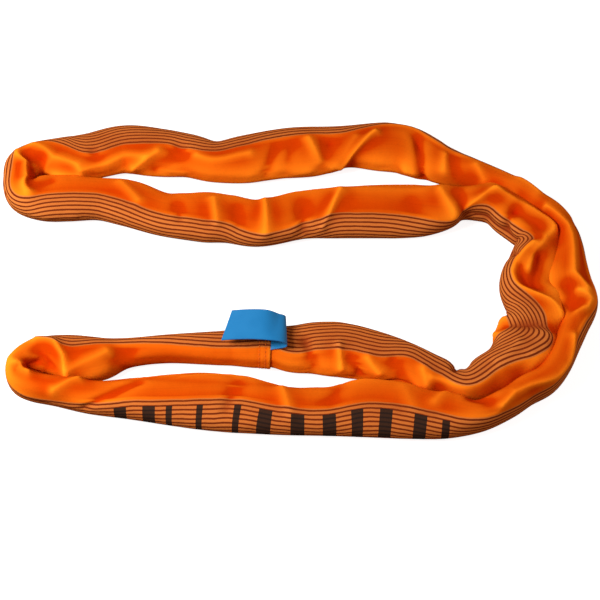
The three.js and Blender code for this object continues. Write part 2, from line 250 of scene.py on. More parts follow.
def fold_field(at, outlines):
    """How far the folds lift or sink the surface, at each ring and each of FIELD_ANGLES angles."""
    polar = np.arange(FIELD_ANGLES) * 2 * np.pi / FIELD_ANGLES
    power = SECTION_POWER / 2
    around = np.degrees(np.arctan2(np.sign(np.sin(polar)) * np.abs(np.sin(polar)) ** power,
                                   np.sign(np.cos(polar)) * np.abs(np.cos(polar)) ** power)) % 360
    run = np.array([run_at(o, around) for o in outlines])
    s = np.repeat(at[:, None], FIELD_ANGLES, 1)
    field = np.zeros_like(s)
    for half_width, height, *line in FOLDS:
        knots = []
        for row, degrees in line:
            arc = arc_of(row)
            nearest = int(round(arc / LOOP * len(at))) % len(at)
            knots.append((arc, float(run_at(outlines[nearest], degrees))))
        near = np.full_like(s, 1e9)
        for (s0, r0), (s1, r1) in zip(knots, knots[1:]):
            ds, dr = s1 - s0, r1 - r0
            ps = (s - s0 + LOOP / 2) % LOOP - LOOP / 2
            t = np.clip((ps * ds + (run - r0) * dr) / (ds * ds + dr * dr), 0, 1)
            near = np.minimum(near, (ps - t * ds) ** 2 + (run - r0 - t * dr) ** 2)
        field += height * np.exp(-(near / half_width**2) ** RIDGE_POWER)
    return field


def resample(grid, count, around):
    """A closed grid at another resolution, by linear interpolation both ways."""
    for axis, target in ((0, count), (1, around)):
        place = np.arange(target) * grid.shape[axis] / target
        low = np.floor(place).astype(int)
        share = (place - low).reshape((-1, 1, 1) if axis == 0 else (1, -1, 1))
        high = (low + 1) % grid.shape[axis]
        grid = np.take(grid, low, axis) * (1 - share) + np.take(grid, high, axis) * share
    return grid


def blurred(grid, turns):
    """A closed grid, each point drawn towards its four neighbours."""
    for _ in range(turns):
        grid = (grid + np.roll(grid, 1, 0) + np.roll(grid, -1, 0)
                + np.roll(grid, 1, 1) + np.roll(grid, -1, 1)) / 5
    return grid


def pulled(first, second, rest, stiffness):
    """Half the correction that brings two cloth points back to their rest distance."""
    gap = second - first
    length = np.sqrt((gap * gap).sum(-1))
    return (stiffness * 0.5 * (length - rest) / np.maximum(length, 1e-6))[..., None] * gap


def pull_to_rest(points, rest_along, rest_round, rest_bias):
    """One turn of the cloth's own lengths: along the strand, round it, and on the bias."""
    count, around = points.shape[:2]
    for parity in (0, 1):
        i = np.arange(parity, count, 2)
        j = (i + 1) % count
        change = pulled(points[i], points[j], rest_along[i], THREAD_STIFFNESS)
        points[i] += change
        points[j] -= change
        i = np.arange(parity, around, 2)
        j = (i + 1) % around
        change = pulled(points[:, i], points[:, j], rest_round[:, i], THREAD_STIFFNESS)
        points[:, i] += change
        points[:, j] -= change
    shear = np.zeros_like(points)
    for side in (1, -1):
        opposite = np.roll(np.roll(points, -1, 0), -side, 1)
        change = pulled(points, opposite, rest_bias, BIAS_STIFFNESS)
        shear += change - np.roll(np.roll(change, 1, 0), side, 1)
    points += shear


def keep_in_strand(points, ring, along, across, field):
    """The yarn core keeps the cloth out, and the strand's own outline keeps it in."""
    width, height = ring[:, 2], ring[:, 3]
    core = (width / 2 - CORE_LESS[0] / 2, height / 2 - CORE_LESS[1] / 2)
    local = points[:, :, :2] - ring[:, None, :2]
    x = (local * across[:, None, :]).sum(2)
    y = (local * along[:, None, :]).sum(2)
    z = points[:, :, 2] - height[:, None] / 2
    radius = np.maximum(np.hypot(x, z), 1e-3)
    polar = np.arctan2(z / height[:, None], x / width[:, None]) / (2 * np.pi) * FIELD_ANGLES
    low = np.floor(polar).astype(int)
    share = polar - low
    ring_index = np.arange(len(points))[:, None]
    fold = (field[ring_index, low % FIELD_ANGLES] * (1 - share)
            + field[ring_index, (low + 1) % FIELD_ANGLES] * share)
    power = SECTION_POWER
    inside = (np.abs(x) / core[0][:, None]) ** power + (np.abs(z) / core[1][:, None]) ** power
    outside = (np.abs(2 * x) / width[:, None]) ** power + (np.abs(2 * z) / height[:, None]) ** power
    least = radius * np.maximum(inside, 1e-6) ** (-1 / power) + fold
    most = radius * np.maximum(outside, 1e-6) ** (-1 / power) + fold
    target = np.where(radius < least, least, np.where(radius > most, 0.5 * (radius + most), radius))
    x, z = x * target / radius, z * target / radius
    sideways = across[:, None, :] * x[..., None]
    points[:, :, :2] = ring[:, None, :2] + sideways + along[:, None, :] * y[..., None]
    points[:, :, 2] = np.maximum(z + height[:, None] / 2, FLOOR_GAP)


def gathered(outer_round, in_band):
    """Cloth round each ring, and what each of its spaces is gathered to: the band gives less."""
    cloth_round = np.minimum(COVER_ROUND, outer_round)
    band = np.maximum(cloth_round / COVER_ROUND, BAND_LEAST)
    plain = (cloth_round / COVER_ROUND - in_band.mean() * band) / (1 - in_band.mean())
    return cloth_round, band, np.where(in_band[None, :], band[:, None], plain[:, None])


def drape(count, around, start, turns, bending, seed):
    """Relaxes the cover over the core, from a coarser result if there is one."""
    at, ring, along, across = strand_rings(count)
    outlines = [outline_of(width, height) for width, height in ring[:, 2:4]]
    middle = (np.arange(around) / around - 0.5) * COVER_ROUND
    in_band = np.abs(middle) < BAND_HALF + BAND_MARGIN
    outer_round = np.array([o[2][-1] for o in outlines])
    cloth_round, band_gather, gather = gathered(outer_round, in_band)
    rest_round = 0.5 * (gather + np.roll(gather, -1, 1)) * COVER_ROUND / around
    run = np.concatenate([np.zeros((count, 1)), np.cumsum(rest_round, 1)], 1)[:, :around]
    run -= run[:, around // 2][:, None]
    # the cloth as it is laid: once round each section, with the band's edge at its own angle
    points = np.zeros((count, around, 3))
    for i, (x, z, r) in enumerate(outlines):
        edge = run_at(outlines[i], ring[i, 4]) / r[-1]
        share = (edge + (run[i] - BAND_HALF * band_gather[i]) / cloth_round[i]) % 1.0
        points[i, :, :2] = ring[i, :2] + across[i] * np.interp(share * r[-1], r, x)[:, None]
        points[i, :, 2] = ring[i, 3] / 2 + np.interp(share * r[-1], r, z)
    home = points.copy()
    hold = np.where(in_band, HOLD[1], HOLD[0])[None, :, None]
    # length along the strand that the cloth needs there, and some spare
    step = LOOP / count
    needed = eased(((np.roll(points, -1, 0) - points)[:, :, :2] * along[:, None, :]).sum(2), NEED_EASING)
    most = np.maximum(needed, LEAST_STEP * step) * MOST_GATHER
    rest_along = np.clip(step * SPARE_ALONG, needed * SPARE_ON_BEND, most)
    rest_bias = np.sqrt(rest_along**2 + rest_round**2)
    if start is not None:
        points = resample(start, count, around)
    rough = np.random.default_rng(seed).normal(0, 1, (count, around, 3))
    points += blurred(rough, ROUGH_BLUR) * ROUGHNESS
    field = fold_field(at, outlines)
    for _ in range(turns):
        pull_to_rest(points, rest_along, rest_round, rest_bias)
        flat = (np.roll(points, 1, 0) + np.roll(points, -1, 0)
                + np.roll(points, 1, 1) + np.roll(points, -1, 1)) / 4
        points += (flat - points) * bending + (home - points) * hold
        points[:, :, 2] -= SINK
        keep_in_strand(points, ring, along, across, field)
    return points


def draped_cover():
    points = None
    for coarser, turns, bending, seed in PASSES:
        points = drape(RINGS // coarser, AROUND // coarser, points, turns, bending, seed)
    return points


def normals_of(grid):
    """Outward unit normals of a closed grid of rings."""
    ahead = np.roll(grid, -1, 0) - np.roll(grid, 1, 0)
    round_about = np.roll(grid, -1, 1) - np.roll(grid, 1, 1)
    n = np.cross(round_about, ahead)
    n /= np.maximum(np.linalg.norm(n, axis=2), 1e-9)[..., None]
    outwards = grid - grid.mean(1, keepdims=True)
    return n * np.sign((n * outwards).sum())


cloth = draped_cover()
cloth_across = strand_rings(RINGS)[3]
RING_STEP = LOOP / RINGS
# The stitched lap makes the strand stand a little off the floor on either side of it: millimetres
# from the lap, and share of the lift.
SEAM_LIFT = 1.7
SEAM_RISE = ((-30, 0), (-8, 1), (36, 1), (62, 0))
from_lap = (np.arange(RINGS) + RINGS // 2) % RINGS - RINGS // 2
cloth[:, :, 2] += SEAM_LIFT * np.interp(from_lap * RING_STEP, *zip(*SEAM_RISE))[:, None]
cloth_normal = normals_of(cloth)

# ---------------------------------------------------------------- the lap seam
COVER_WALL = 1.2
LAP_RINGS = 12  # how far the tucked end runs under the outer one
# Lift of the outer layer: millimetres behind its cut edge, and millimetres of lift.
LAP_LIFT = ((0, 1.3), (3, 1.9), (6, 1.2), (9.5, 1.9), (13, 1.2), (18, 1.5), (30, 1.0), (45, 0))
STITCH_ROWS = (6.0, 13.0)
TUCK_DROP, TUCK_REACH = 0.6, 12  # how far the tucked end is sunk, and the length that it sinks over


def lifted(rings, lift):
    """Cover rings, each moved out along its normals by its own lift."""
    i = np.asarray(rings) % RINGS
    return cloth[i] + cloth_normal[i] * np.asarray(lift)[:, None, None]


def lap_lift(distance):
    return np.interp(distance, *zip(*LAP_LIFT))


def cover_rings():
    """All rings of the cover and their distances: the outer skin once round, on into the tucked
    end, and back along the inside of the outer layer to its cut edge."""
    outer = np.arange(RINGS)
    before_lap = (RINGS - outer) * RING_STEP
    outer_lift = lap_lift(outer * RING_STEP) - TUCK_DROP * np.clip(1 - before_lap / TUCK_REACH, 0, 1)
    tucked = np.arange(LAP_RINGS + 1)
    back = tucked[::-1]
    return (
        np.concatenate([
            lifted(outer, outer_lift),
            lifted(tucked, np.full(LAP_RINGS + 1, -TUCK_DROP)),
            lifted(back, lap_lift(back * RING_STEP) - COVER_WALL),
        ]),
        np.concatenate([outer, RINGS + tucked, back]) * RING_STEP,
    )


def grid_mesh(name, grid, u, v, closed_u=True):
    """A mesh of quads over rings in millimetres, with a UV map of real distances in metres."""
    rings, around = grid.shape[:2]
    index = np.arange(rings * around).reshape(rings, around)
    i, j = np.divmod(np.arange((rings if closed_u else rings - 1) * around), around)
    next_i, next_j = (i + 1) % rings, (j + 1) % around
    faces = np.stack([index[i, j], index[i, next_j], index[next_i, next_j], index[next_i, j]], -1)
    mesh = bpy.data.meshes.new(name)
    mesh.from_pydata((grid.reshape(-1, 3) / 1000).tolist(), [], faces.tolist())
    mesh.polygons.foreach_set("use_smooth", np.ones(len(faces), bool))
    u_next = np.append(u[1:], 2 * u[-1] - u[-2])
    corner = np.stack([np.stack([u[i], v[j]], -1), np.stack([u[i], v[j + 1]], -1),
                       np.stack([u_next[i], v[j + 1]], -1), np.stack([u_next[i], v[j]], -1)], 1)
    layer = mesh.uv_layers.new(name="cloth")
    layer.data.foreach_set("uv", (corner / 1000).reshape(-1).astype(np.float32))
    return mesh


def add_object(name, mesh, material=None):
    o = bpy.data.objects.new(name, mesh)
    bpy.context.scene.collection.objects.link(o)
    if material:
        mesh.materials.append(material)
    return o


CREASE_BLUR = 30


def crease_of(grid):
    """How hollow (above zero) or proud (below zero) the cloth is at each point, in millimetres."""
    return ((blurred(grid, CREASE_BLUR) - grid) * normals_of(grid)).sum(2)


def add_attribute(mesh, name, values):
    attribute = mesh.attributes.new(name, "FLOAT", "POINT")
    attribute.data.foreach_set("value", values.reshape(-1).astype(np.float32))


cover_grid, cover_u = cover_rings()
cover_v = (np.arange(AROUND + 1) / AROUND - 0.5) * COVER_ROUND
cover = add_object("cover", grid_mesh("cover", cover_grid, cover_u, cover_v))
# the crease attribute places the painted shade and the painted highlight in the cover's colour
add_attribute(cover.data, "crease", crease_of(cover_grid))
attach(cover, "sling")
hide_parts("cover_sleeve")

PATH_POINTS = 240
path_ring = strand_rings(PATH_POINTS)[1]
centreline = np.column_stack([path_ring[:, :2], path_ring[:, 3] / 2]) / 1000
centreline = np.vstack([centreline, centreline[:1]])


# ---------------------------------------------------------------- material helpers
def node_material(name):
    material = bpy.data.materials.new(name)
    material.use_nodes = True
    tree = material.node_tree
    tree.nodes.clear()
    shader = tree.nodes.new("ShaderNodeBsdfPrincipled")
    output = tree.nodes.new("ShaderNodeOutputMaterial")
    tree.links.new(shader.outputs[0], output.inputs[0])
    return material, tree, shader


def calc(tree, kind, *values, clamp=False):
    node = tree.nodes.new("ShaderNodeMath")
    node.operation, node.use_clamp = kind, clamp
    for slot, value in enumerate(values):
        if isinstance(value, (int, float)):
            node.inputs[slot].default_value = value
        else:
            tree.links.new(value, node.inputs[slot])
    return node.outputs[0]


def times(tree, first, second):
    return calc(tree, "MULTIPLY", first, second)


def plus(tree, first, second):
    return calc(tree, "ADD", first, second)


def ribs(tree, along, per_metre):
    """A sine across a coordinate, in radians for each metre of cloth."""
    return calc(tree, "SINE", times(tree, along, per_metre))


def twist(tree, u, v, along, around):
    """A thread's twist: a sine that runs aslant round it."""
    return calc(tree, "SINE", plus(tree, times(tree, u, along), times(tree, v, around)))


def mixed(tree, share, first, second):
    """A colour between two, each an RGB value or a socket."""
    node = tree.nodes.new("ShaderNodeMix")
    node.data_type = "RGBA"
    for slot, value in ((0, share), (6, first), (7, second)):
        if isinstance(value, tuple):
            node.inputs[slot].default_value = (*value, 1)
        elif isinstance(value, (int, float)):
            node.inputs[slot].default_value = value
        else:
            tree.links.new(value, node.inputs[slot])
    return node.outputs[2]


def noise(tree, vector, scale, detail=2.0):
    node = tree.nodes.new("ShaderNodeTexNoise")
    node.inputs["Scale"].default_value = scale
    node.inputs["Detail"].default_value = detail
    tree.links.new(vector, node.inputs["Vector"])
    return node.outputs[0]


def stretched(tree, vector, along, around):
    """The cloth's coordinates, scaled apart along and round the strand."""
    node = tree.nodes.new("ShaderNodeMapping")
    node.inputs["Scale"].default_value = (along, around, 1)
    tree.links.new(vector, node.inputs["Vector"])
    return node.outputs[0]


def between(tree, value, low, high):
    """0 at low, 1 at high, straight between them."""
    node = tree.nodes.new("ShaderNodeMapRange")
    tree.links.new(value, node.inputs["Value"])
    node.inputs["From Min"].default_value = low
    node.inputs["From Max"].default_value = high
    return node.outputs[0]


def bump(tree, shader, height, distance, strength=1.0):
    """Relief in the shader's normal. The distance is in metres."""
    node = tree.nodes.new("ShaderNodeBump")
    node.inputs["Strength"].default_value = strength
    node.inputs["Distance"].default_value = distance
    tree.links.new(height, node.inputs["Height"])
    tree.links.new(node.outputs[0], shader.inputs["Normal"])


def cloth_uv(tree):
    """The cloth's own coordinates in metres: both, along, and round or across."""
    node = tree.nodes.new("ShaderNodeUVMap")
    node.uv_map = "cloth"
    split = tree.nodes.new("ShaderNodeSeparateXYZ")
    tree.links.new(node.outputs[0], split.inputs[0])
    return node.outputs[0], split.outputs[0], split.outputs[1]


def attribute(tree, name):
    node = tree.nodes.new("ShaderNodeAttribute")
    node.attribute_name = name
    return node.outputs["Fac"]


# ---------------------------------------------------------------- the cover's cloth
STRIPES = 10
STRIPE_PITCH = 2 * BAND_HALF / STRIPES / 1000
LINE_EDGE = (0.16, 0.25)  # of the pitch from a tracer line's middle: all line, and none
WANDER = 0.0022  # metres that the tracer lines stray over
PRINT_START = arc_of(13.45) / 1000
# Plain ink blocks along the band: millimetres from the print's start, and width.
PRINT_BLOCKS = ((8, 14), (40, 14), (66, 7), (100, 7), (142, 8), (170, 14), (203, 14), (236, 14), (267, 14),
                (300, 14), (338, 14), (368, 8))
PRINT_HEIGHT, PRINT_MIDDLE = 0.040, -0.001  # metres
# Colours of the plain cloth and of the band between its lines: two tones, painted shade in hollows, and
# painted highlight on folds.
PLAIN_TONES = ((0.49, 0.036, 0.0004), (0.61, 0.066, 0.0008))
PLAIN_PAINTED_SHADE, PLAIN_PAINTED_HIGHLIGHT = (0.48, 0.016, 0.0004), (1.0, 0.25, 0.010)
BAND_TONES = ((0.42, 0.094, 0.014), (0.55, 0.143, 0.028))
BAND_PAINTED_SHADE, BAND_PAINTED_HIGHLIGHT = (0.26, 0.035, 0.006), (0.64, 0.19, 0.038)
STREAK_COLOUR, LINE_COLOUR = (0.30, 0.020, 0.0008), (0.15, 0.022, 0.005)
INK_COLOUR = (0.016, 0.012, 0.010)
# Millimetres of crease at which the painted shade and the painted highlight start and are full.
PAINTED_SHADE_RANGE, PAINTED_HIGHLIGHT_RANGE = (-0.8, 3.0), (0.2, -3.8)
STREAK_TINT, PAINTED_SHADE_SHARE, INK_COVER = 0.16, 0.95, 0.95
RIB_PITCH = (0.0016, 0.0011)  # metres between the weave's ribs, along and round the strand
LINE_RELIEF, STREAK_RELIEF, RUMPLE_RELIEF = 1.5, 3.0, 22.0


def inked_share(tree, uv, u, v):
    """1 in the print's ink blocks, which the weave wears through a little."""
    inked = None
    for start, wide in PRINT_BLOCKS:
        centre = PRINT_START + (start + wide / 2) / 1000
        block = calc(tree, "COMPARE", u, centre, wide / 2000)
        inked = block if inked is None else calc(tree, "ADD", inked, block, clamp=True)
    tall = calc(tree, "COMPARE", v, PRINT_MIDDLE, PRINT_HEIGHT / 2)
    worn = between(tree, noise(tree, uv, 900, 1.0), 0.10, 0.24)
    return times(tree, times(tree, inked, tall), worn)


def cover_material():
    material, tree, shader = node_material("woven polyester cover")
    uv, u, v = cloth_uv(tree)
    # the striped band and its tracer lines
    wander = times(tree, calc(tree, "SUBTRACT", noise(tree, uv, 45), 0.5), WANDER)
    wavy = plus(tree, v, wander)
    in_band = calc(tree, "LESS_THAN", calc(tree, "ABSOLUTE", wavy), BAND_HALF / 1000)
    stripe = calc(tree, "DIVIDE", plus(tree, wavy, BAND_HALF / 1000), STRIPE_PITCH)
    off_line = calc(tree, "ABSOLUTE", calc(tree, "SUBTRACT", calc(tree, "FRACT", stripe), 0.5))
    line = times(tree, calc(tree, "SUBTRACT", 1.0, between(tree, off_line, *LINE_EDGE)), in_band)
    # cloth that varies a little, streaked along the weave
    tone = noise(tree, uv, 14, 3.0)
    streaks = noise(tree, stretched(tree, uv, 12, 420), 1.0, 2.0)
    rumple = noise(tree, stretched(tree, uv, 1.0, 0.6), 48, 3.0)
    plain = mixed(tree, tone, *PLAIN_TONES)
    band = mixed(tree, tone, *BAND_TONES)
    colour = mixed(tree, in_band, plain, band)
    streaked = times(tree, between(tree, streaks, 0.45, 0.7), STREAK_TINT)
    colour = mixed(tree, streaked, colour, STREAK_COLOUR)
    colour = mixed(tree, line, colour, LINE_COLOUR)
    # painted shade, darker and redder in the hollows, and painted highlight, lighter along the folds, where
    # the lines stay dark
    crease = attribute(tree, "crease")
    # painted shade: a darker, redder colour mixed in where the cloth lies hollow
    hollow = times(tree, between(tree, crease, *PAINTED_SHADE_RANGE), PAINTED_SHADE_SHARE)
    colour = mixed(tree, hollow, colour, mixed(tree, in_band, PLAIN_PAINTED_SHADE, BAND_PAINTED_SHADE))
    # painted highlight: a lighter, yellower colour mixed in where the cloth stands proud, but not on the
    # tracer lines
    proud = times(tree, between(tree, crease, *PAINTED_HIGHLIGHT_RANGE), calc(tree, "SUBTRACT", 1.0, line))
    colour = mixed(tree, proud, colour, mixed(tree, in_band, PLAIN_PAINTED_HIGHLIGHT, BAND_PAINTED_HIGHLIGHT))
    colour = mixed(tree, times(tree, inked_share(tree, uv, u, v), INK_COVER), colour, INK_COLOUR)
    tree.links.new(colour, shader.inputs["Base Color"])
    # fine ribs of the weave, both ways, with the lines, streaks and rumples on top
    ribs_along = ribs(tree, u, 2 * math.pi / RIB_PITCH[0])
    weave = times(tree, ribs_along, ribs(tree, v, 2 * math.pi / RIB_PITCH[1]))
    weave = plus(tree, weave, times(tree, line, LINE_RELIEF))
    weave = plus(tree, weave, times(tree, streaks, STREAK_RELIEF))
    weave = plus(tree, weave, times(tree, rumple, RUMPLE_RELIEF))
    bump(tree, shader, weave, 0.00008, 0.6)
    band_roughness = plus(tree, times(tree, in_band, 0.12), 0.42)
    roughness = plus(tree, times(tree, tone, 0.12), band_roughness)
    tree.links.new(roughness, shader.inputs["Roughness"])
    shader.inputs["Specular IOR Level"].default_value = 0.0
    return material


cover.data.materials.append(cover_material())


# ---------------------------------------------------------------- the yarn core inside
BUNDLES = 7  # one in the middle and the rest round it
BUNDLE_SIDES = 10
BUNDLE_RINGS = 480
BUNDLE_OFFSET, BUNDLE_SIZE = 0.62, 0.28  # of the core's half size
BUNDLE_SIDE = 3.0  # millimetres of yarn across each of a bundle's sides
CORE_FILL = 0.86  # of the way from the middle to the cover
YARN_TONES = ((0.62, 0.58, 0.50), (0.82, 0.79, 0.71))
YARN_SHEEN = (0.9, 0.88, 0.82)


def inside_cover(rings, p, q):
    """Points inside the cover as it lies. p and q run from -1 to 1 across and up the core."""
    place = np.asarray(rings) % RINGS
    section = cloth[place]
    centre = section.mean(1)
    side = cloth_across[place]
    x = ((section[:, :, :2] - centre[:, None, :2]) * side[:, None, :]).sum(2)
    z = section[:, :, 2] - centre[:, None, 2]
    angle = np.arctan2(z, x)
    radius = np.hypot(x, z)
    want = np.arctan2(q, p)
    out = np.zeros((len(place), p.shape[1], 3))
    for i in range(len(place)):
        order = np.argsort(angle[i])
        reach = np.interp(want[i], angle[i][order], radius[i][order], period=2 * np.pi)
        size = CORE_FILL * np.hypot(p[i], q[i]) * reach
        out[i, :, :2] = centre[i, :2] + side[i] * (size * np.cos(want[i]))[:, None]
        out[i, :, 2] = centre[i, 2] + size * np.sin(want[i])
    return out


def yarn_material():
    material, tree, shader = node_material("white polyester yarn")
    uv, u, v = cloth_uv(tree)
    strands = twist(tree, u, v, 900.0, 2600.0)
    colour = mixed(tree, between(tree, strands, -1.0, 1.0), *YARN_TONES)
    colour = mixed(tree, times(tree, noise(tree, uv, 300), 0.4), colour, YARN_SHEEN)
    tree.links.new(colour, shader.inputs["Base Color"])
    shader.inputs["Roughness"].default_value = 0.6
    bump(tree, shader, strands, 0.0003, 0.8)
    return material


def make_yarn():
    material = yarn_material()
    rings = np.round(np.arange(BUNDLE_RINGS) * RINGS / BUNDLE_RINGS).astype(int)
    turn = np.arange(BUNDLE_SIDES) * 2 * np.pi / BUNDLE_SIDES
    for bundle in range(BUNDLES):
        lean = bundle * np.pi / 3
        offset = 0.0 if bundle == 0 else BUNDLE_OFFSET
        p = np.tile(offset * np.cos(lean) + BUNDLE_SIZE * np.cos(turn), (BUNDLE_RINGS, 1))
        q = np.tile(offset * np.sin(lean) + BUNDLE_SIZE * np.sin(turn), (BUNDLE_RINGS, 1))
        grid = inside_cover(rings, p, q)
        name = f"yarn_bundle_{bundle + 1}"
        v = np.arange(BUNDLE_SIDES + 1) * BUNDLE_SIDE
        piece = add_object(name, grid_mesh(name, grid, rings * RING_STEP, v), material)
        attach(piece, "sling")
        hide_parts(f"core_yarn_bundle_{bundle + 1}")


make_yarn()

TAPE_ROW = 48.5  # of the route
TAPE_HALF = 13.0  # millimetres along the strand
TAPE_RINGS, TAPE_SIDES = 9, 28
TAPE_SIDE = 5.0  # millimetres of tape across each of its sides
TAPE_INSIDE = 0.95  # the tape's inner skin, as a share of its outer one
TAPE_TONES = ((0.70, 0.70, 0.66), (0.86, 0.86, 0.83))


def tape_material():
    material, tree, shader = node_material("white core tape")
    _, _, around = cloth_uv(tree)
    threads = ribs(tree, around, 4500.0)
    colour = mixed(tree, between(tree, threads, -1.0, 1.0), *TAPE_TONES)
    tree.links.new(colour, shader.inputs["Base Color"])
    shader.inputs["Roughness"].default_value = 0.5
    bump(tree, shader, threads, 0.0001)
    return material


def make_tape():
    """Woven tape round the whole hank, where the yarn's two ends are laid in."""
    middle, reach = arc_of(TAPE_ROW) / RING_STEP, TAPE_HALF / RING_STEP
    rings = np.round(np.linspace(middle - reach, middle + reach, TAPE_RINGS)).astype(int)
    turn = np.arange(TAPE_SIDES) * 2 * np.pi / TAPE_SIDES
    skins = []
    for size, order in ((1.0, rings), (TAPE_INSIDE, rings[::-1])):
        p = np.tile(size * np.cos(turn), (len(rings), 1))
        q = np.tile(size * np.sin(turn), (len(rings), 1))
        skins.append(inside_cover(order, p, q))
    u = np.concatenate([rings, rings[::-1]]) * RING_STEP
    v = np.arange(TAPE_SIDES + 1) * TAPE_SIDE
    tape = add_object("core_tape", grid_mesh("core_tape", np.concatenate(skins), u, v), tape_material())
    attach(tape, "sling")
    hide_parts("core_end_tape")


make_tape()

# ---------------------------------------------------------------- stitching of the lap
STITCH_PITCH = 4.6
STITCH_LENGTH = 3.3
STITCH_SIDES, STITCH_RINGS = 8, 7
STITCH_PROUD, STITCH_DIP = 0.15, 0.55  # above the cloth, and down into it at the ends
STITCH_TAPER = 0.12  # least of the thread's section, at a stitch's ends
THREAD_RADIUS = 0.45
THREAD_TONES = ((0.66, 0.09, 0.005), (0.90, 0.20, 0.02))


def thread_material():
    material, tree, shader = node_material("polyester thread")
    _, u, v = cloth_uv(tree)
    plies = twist(tree, u, v, 5000.0, 2200.0)
    colour = mixed(tree, between(tree, plies, -1.0, 1.0), *THREAD_TONES)
    tree.links.new(colour, shader.inputs["Base Color"])
    shader.inputs["Roughness"].default_value = 0.45
    shader.inputs["Specular IOR Level"].default_value = 0.1
    bump(tree, shader, plies, 0.0001)
    return material


def stitch_rings(spine, middle):
    """Rings of one stitch round its spine, which is thickest and highest half way along."""
    forward = spine[-1] - spine[0]
    forward /= np.linalg.norm(forward)
    outward = np.array([0, 0, spine[:, 2].mean() - middle[2]]) + 0.5 * (spine.mean(0) - middle)
    outward -= forward * (outward @ forward)
    outward /= np.linalg.norm(outward)
    sideways = np.cross(forward, outward)
    share = np.linspace(-1, 1, STITCH_RINGS)
    thick = THREAD_RADIUS * np.sqrt(np.maximum(1 - share**4, STITCH_TAPER))
    rise = -STITCH_DIP * share**4
    turn = np.arange(STITCH_SIDES) * 2 * np.pi / STITCH_SIDES
    rings = []
    for i in range(STITCH_RINGS):
        centre = spine[i] + outward * rise[i]
        rings += [centre + thick[i] * (np.cos(t) * outward + np.sin(t) * sideways) for t in turn]
    return rings


def make_stitches(number, distance, material):
    """One row of needle stitches right round the strand, on the cover's outer layer."""
    place = distance / RING_STEP
    low = int(place)
    skin = lifted([low, low + 1], lap_lift(np.array([low, low + 1]) * RING_STEP) + STITCH_PROUD)
    line = skin[0] * (1 - place + low) + skin[1] * (place - low)
    closed = np.vstack([line, line[:1]])
    arc = running_length(closed)
    count = int(arc[-1] // STITCH_PITCH)
    vertices, faces, uvs = [], [], []
    sides, last = STITCH_SIDES, (STITCH_RINGS - 1) * STITCH_SIDES
    for k in range(count):
        start = arc[-1] * k / count
        at = start + np.linspace(0, STITCH_LENGTH, STITCH_RINGS)
        spine = np.column_stack([np.interp(at % arc[-1], arc, closed[:, c]) for c in range(3)])
        base = len(vertices)
        vertices += stitch_rings(spine, line.mean(0))
        for i in range(STITCH_RINGS - 1):
            for j in range(sides):
                a, b = base + i * sides + j, base + i * sides + (j + 1) % sides
                faces.append((a, b, b + sides, a + sides))
                uvs += [(at[i], j), (at[i], j + 1), (at[i + 1], j + 1), (at[i + 1], j)]
        faces.append(tuple(range(base + sides - 1, base - 1, -1)))
        faces.append(tuple(range(base + last, base + last + sides)))
        uvs += [(start, 0)] * sides * 2
    mesh = bpy.data.meshes.new("stitches")
    mesh.from_pydata((np.array(vertices) / 1000).tolist(), [], faces)
    mesh.polygons.foreach_set("use_smooth", np.ones(len(faces), bool))
    layer = mesh.uv_layers.new(name="cloth")
    layer.data.foreach_set("uv", (np.array(uvs) / 1000).reshape(-1).astype(np.float32))
    piece = add_object(f"lap_stitches_{number}", mesh, material)
    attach(piece, "sling")
    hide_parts(f"lap_needle_thread_{number}")


thread = thread_material()
for number, distance in enumerate(STITCH_ROWS, 1):
    make_stitches(number, distance, thread)
    # the bobbin thread on the inside is the CAD's own solid
    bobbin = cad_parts[f"lap_bobbin_thread_{number}"]
    bobbin.data.materials.clear()
    bobbin.data.materials.append(thread)

# ---------------------------------------------------------------- the blue label
LABEL_THICKNESS = 0.8
LABEL_WIDTH = 40.0
LABEL_TURN = 0.1  # radians in plan
LABEL_ACROSS = 14
LABEL_AHEAD = np.array([np.cos(LABEL_TURN), -np.sin(LABEL_TURN), 0])
LABEL_ASIDE = np.array([np.sin(LABEL_TURN), np.cos(LABEL_TURN), 0])
TUCKED_RINGS = (8, 6, 4, 2, 0)  # the cover's rings that the tucked end lies at
TUCKED_INSET, TUCKED_HEIGHT = 1.5, 0.1  # from the cloth's far edge, and over the cloth
CURL_CENTRE = np.array([-26 + CENTRE_SHIFT[0], -88 + CENTRE_SHIFT[1], 42.5])
CURL_REACH, CURL_RISE = 14.0, 8.0
CURL_TURN = (-80, 90, 18)  # degrees that it starts and ends at, and steps
FLAP_START, FLAP_LENGTH, FLAP_STEPS = 8.7, 51.0, 21
FLAP_DROOP = 9.0
CURL_TIGHTER, FLAP_SHORTER, FAR_SAG = 6.0, 7.0, 7.0  # at the strip's far edge
SAG_REACH = 18.0
CORNER_LIFT, CUPPING = 1.2, 2.4
LABEL_EASING = 3
LABEL_TONES = ((0.006, 0.145, 0.37), (0.012, 0.195, 0.46))
LABEL_EDGE, EDGE_WIDTH = (0.004, 0.08, 0.28), 0.0015


